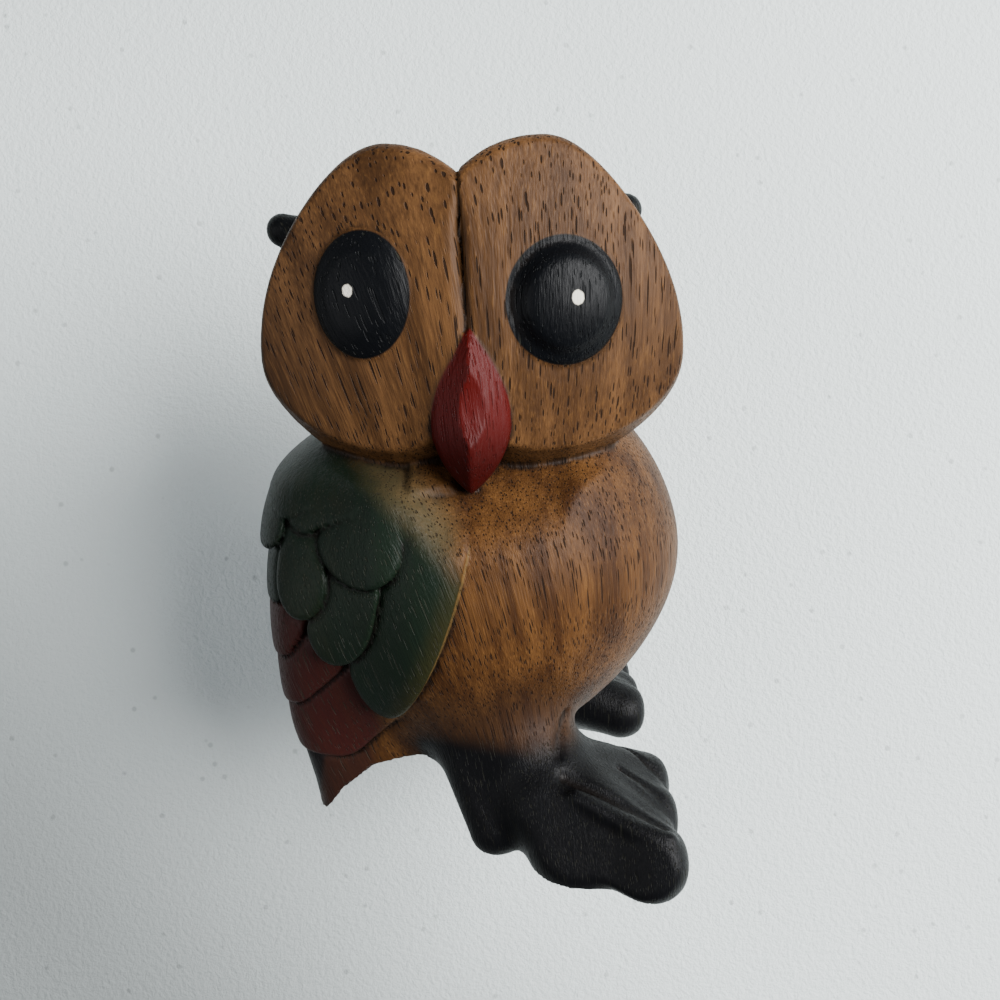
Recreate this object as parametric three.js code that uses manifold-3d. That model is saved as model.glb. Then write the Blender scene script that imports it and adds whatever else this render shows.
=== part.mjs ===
// Carved and painted wooden owl, about 103 mm tall, cut from one block of wood.
// The owl's breast faces +X and its head is turned to look along -Y. It stands on two
// broad feet and on the tip of its tail. Millimetres, +Z up. The origin is on the ground,
// under the middle of the owl's box.

import * as THREE from 'three';
import { mergeVertices } from 'three/addons/utils/BufferGeometryUtils.js';
import Module from 'manifold-3d';

const wasm = await Module();
wasm.setup();

// Driving sizes
const BODY_CENTRE = [0.3, 0, 39.5];
const BODY_RADII = [33.6, 29, 33.2];
const BELLY_LEAN = 0.2; // how far the belly swings back under the breast, per mm below LEAN_TOP
const LEAN_TOP = 40;
const LEAN_EASE = 7; // the swing starts softly, over twice this height
const BACK_INSET = 3.6; // the body is carved back here, so that the feathers stand on it
// The flat facet under the chin. Below the neck it runs out at its ends into the breast and the
// shoulder, over these distances forward and back.
const CHEST = {
  y: 27.3, z: 49.5, rise: 9.6, run: 9, ends: 8, breast: [12, 22], shoulder: [3, 17], neck: [53, 58.5],
};
const WING_RUN = 12; // a feather layer rises to its full lift over this length

const TAIL_STATIONS = [
  { z: 0, rear: -25.4, half: 14.2 },
  { z: 17, rear: -29.5, half: 16.5 },
  { z: 30, rear: -29, half: 18.5 },
  { z: 42, rear: -27.8, half: 17.5 },
  { z: 50, rear: -25, half: 14 },
  { z: 58, rear: -22, half: 11 },
  { z: 68, rear: -14, half: 8 },
  { z: 80, rear: -4, half: 2 },
];
const TAIL_SQUARENESS = 4; // exponent of the tail's rounded-rectangle section
const TAIL_END = -2; // the tail is modelled down to here, then cut off at the ground
const TAIL_FILLET = 5; // how softly the flanks run into the tail
const TORSO_MIDDLE = [-6, 0, 38]; // a point from which all of body and tail is in sight
// Underside of the tail, as [x, z] from just below the ground to the belly
const TAIL_UNDERSIDE = [[-25.1, -2], [-20.5, 5.2], [-15.5, 9.6], [-8, 12], [12, 12.5]];

// The layers of feathers. Each is the torso raised by a lift, inside a side-view outline.
// from is the x where it starts to rise out of the breast.
// Long feathers that wrap the back: each ends at height z, and from x forward its lower
// edge climbs at the slope.
const BANDS = [
  { lift: 0.9, from: -2, x: -18.5, z: 11.3, slope: 1.1 },
  { lift: 1.8, from: -2, x: -26.8, z: 20, slope: 1 },
  { lift: 2.6, from: -2, x: -28.4, z: 28, slope: 1.35 },
];
// Round-tipped feathers, as [x, z] of root and tip
const FEATHERS = [
  { root: [-5.2, 62], tip: [-12.6, 21.2], half: 9.2, point: 24, lift: 3, from: 2.5 },
  { root: [-31, 52], tip: [-31.5, 36.5], half: 5.2, point: 5, lift: 3.3, from: 0 },
  { root: [-16, 50], tip: [-20.2, 29.8], half: 5.3, point: 9, lift: 4.2, from: 0 },
  { root: [-23.2, 56], tip: [-24.9, 36.3], half: 4.1, point: 6, lift: 4.8, from: 0 },
];
const SHOULDER = { lift: 5.2, from: -2 };
const SCALLOPS = [
  { root: [-13.5, 66], tip: [-15.8, 42.5], half: 6.4, point: 6 },
  { root: [-23.6, 66], tip: [-24, 48.8], half: 3.7, point: 4 },
  { root: [-32.5, 66], tip: [-32.5, 44.6], half: 5.3, point: 5 },
];

const FACE_Y = -23;
const FACE_TURN = THREE.MathUtils.degToRad(14); // each face lobe looks this far outward
// The two halves of the face. taper is the narrowing of the outer side per mm above the centre,
// corner is where the slope down to the notch starts and bevel is the bevel's reach at the chin.
const LOBES = [
  {
    x: -11.8, z: 81.3, halfWidth: 18.4, above: 21.7, below: 26.6, taper: 0.0158,
    side: -1, corner: [-5.6, 101.8], bevel: 4.3,
  },
  {
    x: 11.3, z: 82, halfWidth: 20, above: 22.2, below: 25.8, taper: 0.0183,
    side: 1, corner: [2, 101.7], bevel: 3.8,
  },
];
const NOTCH = [-1.1, 99]; // bottom of the notch between the lobes, as [x, z]
// The line where the lobes meet, and the V groove along it
const PARTING = {
  top: [-1.3, -20.5, 103], bottom: [0.6, -25, 73], left: 2.4, right: 1.2, depth: 3, overlap: 0.4,
};
const LOBE_DEPTH = 24;
const LOBE_FLARE = 0.2; // narrowing of a lobe per mm behind its face
const LOBE_CROWN = 91; // radius of the gently domed front of a lobe
const LOBE_RIM = 1.5; // rounding of its edge
const BEVEL_HIGH = 1; // the bevel's reach round the rest of a lobe
const BEVEL_TURN = THREE.MathUtils.degToRad(42);
const SKULL = { centre: [-0.4, -2, 78.2], radii: [26.8, 21.5, 21.6] };

const EYES = [
  { centre: [-14, -22.9, 82.6], radii: [7, 2.2, 8.6], side: -1 },
  { centre: [13.1, -22.9, 81.9], radii: [8.3, 3.4, 8.7], side: 1 },
];
const BEAK = { centre: [0.5, -23, 65.6], half: 5.5, above: 13, below: 10.3, ridge: 5.7, root: 6 };
const EARS = [
  { base: [-23, 3, 89.5], tip: [-29.4, 2, 91.9] },
  { base: [20, 3, 90.5], tip: [24, 2, 94.9] },
];
const EAR_BASE = 4.4;
const EAR_TIP = 2.6;

// The foot on the -Y side; the other one mirrors it. Tapered limbs from a to b.
const FOOT = {
  leg: { a: [4, -14, 22], b: [11, -20.5, 8], ra: 10.5, rb: 7 },
  heel: { a: [0.3, -16, 16], b: [4, -22.4, 3], ra: 6.6, rb: 4.2 },
  outerToe: { a: [12, -24.5, 8], b: [25.8, -33.2, 4], ra: 6.5, rb: 5.7 },
  middleToe: { a: [13, -21, 9], b: [26.6, -22, 4.2], ra: 7, rb: 5.6 },
  innerToe: { a: [13, -19, 9.5], b: [27, -13.8, 5.5], ra: 7, rb: 5.1 },
  outerWeb: { a: [14, -22, 8], b: [25, -27.6, 4], ra: 7.5, rb: 5.4 },
  innerWeb: { a: [14, -19, 8.5], b: [25.8, -17.8, 4.6], ra: 7.5, rb: 5.5 },
  side: { centre: [17, -26.3, 4], radii: [9, 8.6, 9] },
  // The flat outer flank, which stands further out at the toe, and the flat ends of the toes
  flank: { on: [16, -30.8, 12.2], lean: [-0.23, -0.915, 0.331], toe: 1.4 },
  front: 32,
  middle: [15.5, -23, 6.5], // a point well inside, from which every part of the foot is in sight
};

// Form functions: each gives roughly the distance of a point to a form, negative inside

function ellipsoid(p, centre, radii) {
  let near = 0;
  let slope = 0;
  for (let axis = 0; axis < 3; axis += 1) {
    const q = (p[axis] - centre[axis]) / radii[axis];
    near += q * q;
    slope += (q / radii[axis]) ** 2;
  }
  near = Math.sqrt(near);
  return (near * (near - 1)) / (Math.sqrt(slope) + 1e-9);
}

function limb(p, { a, b, ra, rb }) {
  const along = a.map((start, axis) => b[axis] - start);
  const from = a.map((start, axis) => p[axis] - start);
  const length2 = along.reduce((sum, d) => sum + d * d, 0);
  const dot = along.reduce((sum, d, axis) => sum + d * from[axis], 0);
  const t = THREE.MathUtils.clamp(dot / length2, 0, 1);
  const gap = Math.hypot(...from.map((d, axis) => d - t * along[axis]));
  return gap - THREE.MathUtils.lerp(ra, rb, t);
}

// Joins two forms with a fillet of about the given size
function blend(a, b, fillet) {
  const h = THREE.MathUtils.clamp(0.5 + (b - a) / (2 * fillet), 0, 1);
  return THREE.MathUtils.lerp(b, a, h) - fillet * h * (1 - h);
}

// Keeps what is inside both forms, with a rounded edge
function trim(a, b, rounding) {
  return -blend(-a, -b, rounding);
}

const { smoothstep } = THREE.MathUtils;

// The value where it is positive and 0 where it is not, with a soft bend between
function eased(value, ease) {
  const near = THREE.MathUtils.clamp(value + ease, 0, 2 * ease);
  return near ** 2 / (4 * ease) + Math.max(0, value - ease);
}

function chestFacet([x, y, z]) {
  const steep = Math.hypot(CHEST.rise, CHEST.run);
  const plane = ((Math.abs(y) - CHEST.y) * CHEST.run + (z - CHEST.z) * CHEST.rise) / steep;
  const ends = smoothstep(x, ...CHEST.breast) + smoothstep(-x, ...CHEST.shoulder);
  return plane - CHEST.ends * ends * (1 - smoothstep(z, ...CHEST.neck));
}

function bodyForm([x, y, z]) {
  const lean = eased(LEAN_TOP - z, LEAN_EASE) * BELLY_LEAN;
  const inset = BACK_INSET * smoothstep(-x, 0, 20);
  const egg = ellipsoid([x + lean, y, z], BODY_CENTRE, BODY_RADII) + inset;
  return trim(egg, chestFacet([x, y, z]), 1.8);
}

// A size of the tail at a height: straight between stations, with each bend drawn out
function tailSize(size, height) {
  const shifts = [-5, -3, -1, 1, 3, 5];
  const sizes = shifts.map((shift) => {
    const z = THREE.MathUtils.clamp(height + shift, 0, TAIL_STATIONS.at(-1).z);
    const above = Math.max(1, TAIL_STATIONS.findIndex((station) => station.z >= z));
    const [low, high] = [TAIL_STATIONS[above - 1], TAIL_STATIONS[above]];
    return THREE.MathUtils.mapLinear(z, low.z, high.z, low[size], high[size]);
  });
  return sizes.reduce((sum, value) => sum + value, 0) / sizes.length;
}

function tailForm([x, y, z]) {
  const rear = tailSize('rear', z);
  const half = tailSize('half', z);
  const across = Math.abs(y / half) ** TAIL_SQUARENESS;
  const back = Math.abs((2 * x) / rear - 1) ** TAIL_SQUARENESS;
  const tube = ((across + back) ** (1 / TAIL_SQUARENESS) - 1) * half;
  return Math.max(tube, TAIL_END - z, z - TAIL_STATIONS.at(-1).z);
}

// Body and tail raised by a feather layer's lift, which fades out forward and up the neck
function torsoForm(p, { lift, from }) {
  const [x, , z] = p;
  const raised = lift * smoothstep(from - x, 0, WING_RUN) * (1 - smoothstep(z, 54, 68));
  return trim(blend(bodyForm(p), tailForm(p), TAIL_FILLET) - raised, chestFacet(p) - 0.6, 1.8);
}

function footForm(p) {
  const toes = [FOOT.outerToe, FOOT.middleToe, FOOT.innerToe, FOOT.outerWeb, FOOT.innerWeb];
  const fan = toes.map((toe) => limb(p, toe)).reduce((all, toe) => blend(all, toe, 0.6));
  const broad = blend(fan, ellipsoid(p, FOOT.side.centre, FOOT.side.radii), 1.5);
  const ankle = blend(limb(p, FOOT.leg), limb(p, FOOT.heel), 3);
  const whole = blend(broad, ankle, 3.5);
  const { on, lean, toe } = FOOT.flank;
  const past = lean.reduce((sum, d, axis) => sum + d * (p[axis] - on[axis]), 0);
  const flat = trim(whole, past - toe * smoothstep(p[0], 20, 26), 1.2);
  return trim(flat, p[0] - FOOT.front, 2);
}

function lobeForm({ halfWidth, above, below, taper, side, bevel }) {
  return ([x, y, z]) => {
    const outer = side * x > 0 ? taper * z : 0;
    const height = z > 0 ? above : below;
    const oval = (Math.hypot(x / (halfWidth * (1 - outer)), z / height) - 1) * halfWidth;
    const rim = oval + LOBE_FLARE * Math.max(0, y);
    const front = Math.hypot(x, y - LOBE_CROWN + 1, z) - LOBE_CROWN;
    const reach = THREE.MathUtils.lerp(bevel, BEVEL_HIGH, smoothstep(z, -22, -8));
    const slant = (rim + reach) * Math.cos(BEVEL_TURN) + front * Math.sin(BEVEL_TURN);
    return trim(trim(trim(rim, front, LOBE_RIM), slant, 1), y - LOBE_DEPTH, 14);
  };
}

function beakForm([x, y, z]) {
  const t = z / (z > 0 ? BEAK.above : BEAK.below);
  const tall = (BEAK.above + BEAK.below) / 2;
  const arc = (tall ** 2 + BEAK.half ** 2) / (2 * BEAK.half);
  const outline = Math.hypot(Math.abs(x) + arc - BEAK.half, t * tall) - arc;
  const ridge = BEAK.ridge * (1 - (z > 0 ? 0.5 : 0.75) * t * t);
  const facets = 0.75 * (-y - ridge + 0.75 * Math.abs(x));
  return trim(trim(outline, facets, 0.8), y - BEAK.root, 1);
}

// Solids

function solidOf(geometry) {
  geometry.deleteAttribute('normal');
  geometry.deleteAttribute('uv');
  const merged = mergeVertices(geometry);
  return new wasm.Manifold(new wasm.Mesh({
    numProp: 3,
    vertProperties: new Float32Array(merged.attributes.position.array),
    triVerts: new Uint32Array(merged.index.array),
  }));
}

// A sphere around a middle point, drawn in or out along its own rays onto a form.
// Its rings of facets run level around the Z axis, or else around the Y axis.
function wrapped(form, middle, sectors, rings, level = true) {
  const reach = 70;
  const sphere = new THREE.SphereGeometry(1, sectors, rings);
  if (level) sphere.rotateX(Math.PI / 2);
  const position = sphere.attributes.position;
  const ray = new THREE.Vector3();
  for (let i = 0; i < position.count; i += 1) {
    ray.fromBufferAttribute(position, i);
    let inside = 0;
    let outside = reach;
    while (outside - inside > 1e-3) {
      const half = (inside + outside) / 2;
      const point = middle.map((m, axis) => m + half * ray.getComponent(axis));
      if (form(point) < 0) inside = half;
      else outside = half;
    }
    ray.multiplyScalar(inside);
    position.setXYZ(i, middle[0] + ray.x, middle[1] + ray.y, middle[2] + ray.z);
  }
  return sphere;
}

function box([x0, y0, z0], [x1, y1, z1]) {
  return new THREE.BoxGeometry(Math.abs(x1 - x0), Math.abs(y1 - y0), Math.abs(z1 - z0))
    .translate((x0 + x1) / 2, (y0 + y1) / 2, (z0 + z1) / 2);
}

function torso(layer) {
  return solidOf(wrapped((p) => torsoForm(p, layer), TORSO_MIDDLE, 42, 24));
}

// A flat outline in the side view, pushed right through the owl from side to side
function throughSlab(points) {
  const shape = new THREE.Shape(points.map(([x, z]) => new THREE.Vector2(x, z)));
  const depth = 90;
  const slab = new THREE.ExtrudeGeometry(shape, { depth, bevelEnabled: false });
  return solidOf(slab.rotateX(Math.PI / 2).translate(0, depth / 2, 0));
}

function featherOutline({ root, tip, half, point }) {
  const length = Math.hypot(tip[0] - root[0], tip[1] - root[1]);
  const along = [(tip[0] - root[0]) / length, (tip[1] - root[1]) / length];
  const across = [-along[1], along[0]];
  const place = (s, w) => [0, 1].map((axis) => root[axis] + s * along[axis] + w * across[axis]);
  const steps = 8;
  const outline = [place(0, -half)];
  for (let i = 0; i <= steps; i += 1) {
    const turn = (Math.PI * i) / steps;
    outline.push(place(length - point + point * Math.sin(turn), -half * Math.cos(turn)));
  }
  outline.push(place(0, half));
  return outline;
}

function bandOutline({ x, z, slope }) {
  const back = -60;
  const top = 70;
  return [[back, z], [x, z], [x + (top - z) / slope, top], [back, top]];
}

// What is cut away under the tail, up to the belly
function undercut() {
  const floor = -30;
  const [first, last] = [TAIL_UNDERSIDE[0], TAIL_UNDERSIDE.at(-1)];
  const slab = throughSlab([...TAIL_UNDERSIDE, [last[0], floor], [first[0], floor]]);
  return slab.subtract(solidOf(wrapped(bodyForm, BODY_CENTRE, 36, 20)));
}

function carvedBody() {
  let body = torso({ lift: 0, from: 0 });
  for (const band of BANDS) {
    body = body.add(torso(band).intersect(throughSlab(bandOutline(band))));
  }
  for (const feather of FEATHERS) {
    body = body.add(torso(feather).intersect(throughSlab(featherOutline(feather))));
  }
  const shoulder = torso(SHOULDER);
  for (const scallop of SCALLOPS) {
    body = body.add(shoulder.intersect(throughSlab(featherOutline(scallop))));
  }
  return body.subtract(undercut());
}

// Stands a shape that was made around the Z axis on the line where the lobes meet
function alongParting(geometry) {
  const top = new THREE.Vector3(...PARTING.top);
  const bottom = new THREE.Vector3(...PARTING.bottom);
  const up = new THREE.Vector3(0, 0, 1);
  const line = top.sub(bottom).normalize();
  geometry.applyQuaternion(new THREE.Quaternion().setFromUnitVectors(up, line));
  return geometry.translate(...PARTING.bottom);
}

// What is cut away above the slope from the notch up to a lobe's inner corner
function notchCut([cornerX, cornerZ]) {
  const [x, z] = NOTCH;
  const reach = 10; // the cut runs on past the corner, to this many times as far
  const [farX, farZ] = [x + reach * (cornerX - x), z + reach * (cornerZ - z)];
  return throughSlab([[x, z], [farX, farZ], [x, farZ]]);
}

// One half of the face, cut off a little past the parting, so that the halves overlap
function faceLobe(lobe) {
  const disc = wrapped(lobeForm(lobe), [0, 8, 0], 32, 20, false)
    .rotateZ(lobe.side * FACE_TURN)
    .translate(lobe.x, FACE_Y, lobe.z);
  const half = box([-PARTING.overlap * lobe.side, -60, -60], [60 * lobe.side, 60, 60]);
  return solidOf(disc).intersect(solidOf(alongParting(half))).subtract(notchCut(lobe.corner));
}

function partingGroove() {
  const { left, right, depth } = PARTING;
  const reach = 3; // the cutting wedge is this many times as deep as the groove
  const section = [[0, 0], [-left * reach, -depth * reach], [right * reach, -depth * reach]];
  const wedge = new THREE.Shape(section.map(([x, y]) => new THREE.Vector2(x, y)));
  return solidOf(alongParting(new THREE.ExtrudeGeometry(wedge, { depth: 50, bevelEnabled: false })));
}

function ear({ base, tip }) {
  const form = (p) => limb(p, { a: base, b: tip, ra: EAR_BASE, rb: EAR_TIP });
  const middle = base.map((start, axis) => (start + tip[axis]) / 2);
  return solidOf(wrapped(form, middle, 12, 8));
}

function eye({ centre, radii, side }) {
  const dome = new THREE.SphereGeometry(1, 24, 12);
  return solidOf(dome.scale(...radii).rotateZ(side * FACE_TURN).translate(...centre));
}

function carvedHead() {
  const skull = new THREE.SphereGeometry(1, 26, 13);
  let head = solidOf(skull.scale(...SKULL.radii).translate(...SKULL.centre));
  for (const lobe of LOBES) head = head.add(faceLobe(lobe));
  head = head.subtract(partingGroove());
  for (const part of EARS) head = head.add(ear(part));
  for (const part of EYES) head = head.add(eye(part));
  const beak = wrapped(beakForm, [0, 0, 0], 16, 12).translate(...BEAK.centre);
  return head.add(solidOf(beak));
}

function foot(side) {
  const [x, y, z] = FOOT.middle;
  return solidOf(wrapped((p) => footForm([p[0], -side * p[1], p[2]]), [x, -side * y, z], 33, 21));
}

function carvedOwl() {
  const ground = solidOf(box([-80, -80, -30], [80, 80, 0]));
  return carvedBody().add(carvedHead()).add(foot(-1)).add(foot(1)).subtract(ground);
}

function geometryOf(solid) {
  const mesh = solid.getMesh();
  const geometry = new THREE.BufferGeometry();
  geometry.setAttribute('position', new THREE.BufferAttribute(mesh.vertProperties, 3));
  geometry.setIndex(new THREE.BufferAttribute(mesh.triVerts, 1));
  geometry.computeVertexNormals();
  return geometry;
}

const stainedWood = new THREE.MeshStandardMaterial({ color: 0x80552f, roughness: 0.5, metalness: 0 });

const owl = new THREE.Mesh(geometryOf(carvedOwl()), stainedWood);
owl.name = 'owl';
owl.geometry.computeBoundingBox();
const middle = owl.geometry.boundingBox.getCenter(new THREE.Vector3());
owl.position.set(-middle.x, -middle.y, 0);

const model = new THREE.Group();
model.add(owl);

export default model;
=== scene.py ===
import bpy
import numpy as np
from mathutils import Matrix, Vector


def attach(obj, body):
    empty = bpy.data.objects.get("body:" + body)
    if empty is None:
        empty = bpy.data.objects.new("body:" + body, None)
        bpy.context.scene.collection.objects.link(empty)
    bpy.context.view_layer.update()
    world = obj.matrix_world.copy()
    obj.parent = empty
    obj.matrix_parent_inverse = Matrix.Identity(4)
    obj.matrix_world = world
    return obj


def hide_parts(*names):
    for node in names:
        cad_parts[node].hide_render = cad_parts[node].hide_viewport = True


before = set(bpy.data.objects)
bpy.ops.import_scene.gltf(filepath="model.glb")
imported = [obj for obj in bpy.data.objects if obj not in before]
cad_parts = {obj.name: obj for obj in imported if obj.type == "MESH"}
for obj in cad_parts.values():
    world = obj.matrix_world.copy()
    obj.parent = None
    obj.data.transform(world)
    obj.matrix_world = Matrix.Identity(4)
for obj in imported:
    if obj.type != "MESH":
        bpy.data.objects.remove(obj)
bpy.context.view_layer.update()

# A painted wooden owl, carved from one block. Its skin is drawn here from the same named
# sizes as the solid, with the finer carving added, and painted as a procedural material.
# The forms are written in millimetres, +Z up, with the owl's breast towards +X and its
# face towards -Y. Every form function takes an array of points and gives roughly each
# one's distance to the form, negative inside.

MM = 0.001

# Sizes of the body, as in the solid
BODY_CENTRE = (0.3, 0, 39.5)
BODY_RADII = (33.6, 29, 33.2)
BELLY_LEAN = 0.2
LEAN_TOP = 40
LEAN_EASE = 7
BACK_INSET = 3.6
BACK_RUN = 20
CHEST = {"y": 27.3, "z": 49.5, "rise": 9.6, "run": 9, "ends": 8, "breast": (12, 22),
         "shoulder": (-3, -17), "neck": (53, 58.5), "rounding": 1.8, "under_feathers": 0.6}
WING_RUN = 12  # so far behind its start a feather or band stands at its full height
# A patch left proud on the throat beside the beak, from and to in x and in z, with how
# gently each of these four sides rises
THROAT = {"x": (-9, -0.5), "z": (54.5, 62), "ease_x": (1.2, 2), "ease_z": (2, 1), "proud": 1}

TAIL_HEIGHTS = (0, 17, 30, 42, 50, 58, 68, 80)
TAIL_REARS = (-25.4, -29.5, -29, -27.8, -25, -22, -14, -4)
TAIL_HALVES = (14.2, 16.5, 18.5, 17.5, 14, 11, 8, 2)
TAIL_SQUARENESS = 4
TAIL_FILLET = 5
UNDERSIDE_X = (-25.1, -20.5, -15.5, -8, 12)
UNDERSIDE_Z = (-2, 5.2, 9.6, 12, 12.5)
UNDERSIDE_SLOPE = 0.7  # turns a height above the underside into a distance from it

BANDS = (
    {"lift": 0.9, "from": -2, "x": -18.5, "z": 11.3, "slope": 1.1},
    {"lift": 1.8, "from": -2, "x": -26.8, "z": 20, "slope": 1},
    {"lift": 2.6, "from": -2, "x": -28.4, "z": 28, "slope": 1.35},
)
BAND_CORNER = 2
FEATHERS = (
    {"root": (-5.2, 62), "tip": (-12.6, 21.2), "half": 9.2, "point": 24, "lift": 3, "from": 2.5, "join": 0},
    {"root": (-31, 52), "tip": (-31.5, 36.5), "half": 5.2, "point": 5, "lift": 3.3, "from": 0, "join": 0},
    {"root": (-16, 50), "tip": (-20.2, 29.8), "half": 5.3, "point": 9, "lift": 4.2, "from": 0, "join": 0},
    {"root": (-23.2, 56), "tip": (-24.9, 36.3), "half": 4.1, "point": 6, "lift": 4.8, "from": 0, "join": 0},
    {"root": (-13.5, 66), "tip": (-15.8, 42.5), "half": 6.4, "point": 6, "lift": 5.2, "from": -2, "join": 1},
    {"root": (-23.6, 66), "tip": (-24, 48.8), "half": 3.7, "point": 4, "lift": 5.2, "from": -2, "join": 1},
    {"root": (-32.5, 66), "tip": (-32.5, 44.6), "half": 5.3, "point": 5, "lift": 5.2, "from": -2, "join": 1},
)
# The layers fade into the body between these heights
LAYERS_END = (54, 68)
# The edge of a layer: its rounding, how steep it is, and the groove cut along it
LAYER_EDGE = {"rounding": 0.7, "steep": 0.9, "groove": 0.4, "groove_width": 0.8, "fillet": 0.4}
# How much lower a feather or a band is at its edge than in its middle
FEATHER_DOME = 0.25
BAND_DOME = 0.3
BAND_DOME_RUN = 6
NO_LAYER = 9  # so far outside the torso a layer starts, where it can't be seen

# The front edge of the first feather, from top to tip, how far it bows out, and the stretch
# that is bowed, as shares of its length
FRONT_EDGE = {"top": (0.6, 50.2), "tip": (-8.3, 24), "bow": 1.1, "bowed": (-0.2, 1.2), "rounding": 2}
# Between these heights the shoulder feathers grow by the spread and become one
SHOULDER_JOIN = (49.5, 53.5)
SHOULDER_SPREAD = 5

FACE_Y = -23
FACE_TURN = 14
LOBES = (
    {"x": -11.8, "z": 81.3, "half_width": 18.4, "above": 21.7, "below": 26.6, "taper": 0.0158,
     "side": -1, "roll": 3, "corner": (-5.6, 101.8), "bevel": 4.3},
    {"x": 11.3, "z": 82, "half_width": 20, "above": 22.2, "below": 25.8, "taper": 0.0183,
     "side": 1, "roll": 1.3, "corner": (2, 101.7), "bevel": 3.8},
)
PARTING_TOP = (-1.3, 103)
PARTING_BOTTOM = (0.6, 73)
PARTING_DEPTH = 1.8
# Between these heights the parting loses these shares of its roll and depth
PARTING_END = {"z": (90, 98), "roll": 0.8, "depth": 0.75}
LOBE_DEPTH = 24
LOBE_BACK_ROUNDING = 14
LOBE_FLARE = 0.2
LOBE_CROWN = 91
LOBE_PROUD = 1
LOBE_RIM = 1.5
# How far the bevel cuts in: "high" on top and each lobe's own measure below, changing over
# between these heights of the lobe
BEVEL = {"high": 1, "z": (-8, -22), "turn": 42, "rounding": 0.5}
NOTCH = (-1.1, 99)
NOTCH_ROUNDING = 0.7
SKULL_CENTRE = (-0.4, -2, 78.2)
SKULL_RADII = (26.8, 21.5, 21.6)
SKULL_FILLET = 3

EYES = (
    {"centre": (-14, -22.9, 82.6), "radii": (7, 2.2, 8.6), "side": -1, "ring": 0.15, "soft": 0.5,
     "inset": 0.1},
    {"centre": (13.1, -22.9, 81.9), "radii": (8.3, 3.4, 8.7), "side": 1, "ring": 1, "soft": 0.6,
     "inset": 0.05},
)
# The groove around each eye lies inside the eye's outline, deepest at its upper left
EYE_GROOVE = {"inside": 1.4, "width": 1, "middle": 0.8, "rise": 0.5 / 12, "least": 0.2, "most": 1.1}
BEAK = {"centre": (0.5, -23, 65.6), "half": 5.5, "above": 13, "below": 10.3, "ridge": 5.7, "root": 6,
        "ends": (0.5, 0.75), "slope": 0.75, "rounding": 0.8, "back_rounding": 1}
# The narrow flat along the beak's ridge
BEAK_FLAT = {"z": 3, "height": 4.3, "bow": 0.03, "turn": 0.15, "rounding": 0.15}
EARS = (
    ((-23, 3, 89.5), (-29.4, 2, 91.9)),
    ((20, 3, 90.5), (24, 2, 94.9)),
)
EAR_BASE = 4.4
EAR_TIP = 2.6

FOOT = {
    "leg": ((4, -14, 22), (11, -20.5, 8), 10.5, 7),
    "heel": ((0.3, -16, 16), (4, -22.4, 3), 6.6, 4.2),
    "outer_toe": ((12, -24.5, 8), (25.8, -33.2, 4), 6.5, 5.7),
    "middle_toe": ((13, -21, 9), (26.6, -22, 4.2), 7, 5.6),
    "inner_toe": ((13, -19, 9.5), (27, -13.8, 5.5), 7, 5.1),
    "outer_web": ((14, -22, 8), (25, -27.6, 4), 7.5, 5.4),
    "inner_web": ((14, -19, 8.5), (25.8, -17.8, 4.6), 7.5, 5.5),
}
FOOT_SIDE = ((17, -26.3, 4), (9, 8.6, 9))
FOOT_FILLETS = {"toes": 0.6, "side": 1.5, "ankle": 3, "leg": 3.5}
FOOT_FACET = {"on": (16, -30.8, 12.2), "lean": (-0.23, -0.915, 0.331), "rounding": 0.6,
              "toe": 1.4, "toe_x": (20, 26)}
FOOT_FRONT = {"x": 32, "rounding": 2}
# Grooves cut into a foot, between its toes and where the leg starts
FOOT_GROOVES = (
    {"line": ((14, -27.2, 13.7), (16.8, -28.2, 12.7), (20.3, -29.5, 11.7), (24.5, -31, 10.3),
              (27.5, -33, 9.5)),
     "depth": 1.3, "width": 0.9},
    {"line": ((22.5, -21, 11.5), (25.6, -22.3, 10.6), (28, -24, 9.6), (31, -26.5, 7)),
     "depth": 0.7, "width": 0.7},
    {"line": ((20.8, -12.6, 12), (25, -14.6, 11), (29, -17, 9.5), (32, -19.5, 6)),
     "depth": 0.6, "width": 0.7},
    {"line": ((14.2, -19.5, 20.6), (13.4, -22.5, 18.4), (13.1, -24.8, 16.4)),
     "depth": 0.7, "width": 0.8},
)
# The crests above the flat flank and along the back of the leg
FOOT_CRESTS = (
    {"line": ((15.2, -30.3, 12.8), (18.6, -32.2, 11.2), (22, -33.7, 9.9), (28.4, -35, 8.9)),
     "height": 0.7, "width": 1.1},
    {"line": ((-2.3, -22.4, 14.6), (-0.3, -23.9, 10), (1.8, -25.5, 6), (4.5, -26.4, 1.9)),
     "height": 0.15, "width": 1},
)

# How softly each part runs into the body
FILLETS = {"feet": 3, "head": 1, "ears": 1, "beak": 0.3}


# Form helpers

TINY = 1e-9
BEND_SHIFTS = (-5, -3, -1, 1, 3, 5)


def ellipsoid(p, centre, radii):
    q = (p - np.array(centre)) / np.array(radii)
    near = np.sqrt((q ** 2).sum(1)) + TINY
    slope = np.sqrt(((q / np.array(radii)) ** 2).sum(1)) + TINY
    return near * (near - 1) / slope


def limb(p, a, b, ra, rb):
    along = np.subtract(b, a).astype(float)
    start = p - np.array(a)
    t = np.clip(start @ along / (along @ along), 0, 1)
    return np.linalg.norm(start - t[:, None] * along, axis=1) - (ra + (rb - ra) * t)


def blend(a, b, fillet):
    h = np.clip(0.5 + (b - a) / (2 * fillet), 0, 1)
    return b + (a - b) * h - fillet * h * (1 - h)


def trim(a, b, rounding):
    return -blend(-a, -b, rounding)


def smoothstep(low, high, value):
    t = np.clip((value - low) / (high - low), 0, 1)
    return t * t * (3 - 2 * t)


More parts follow.
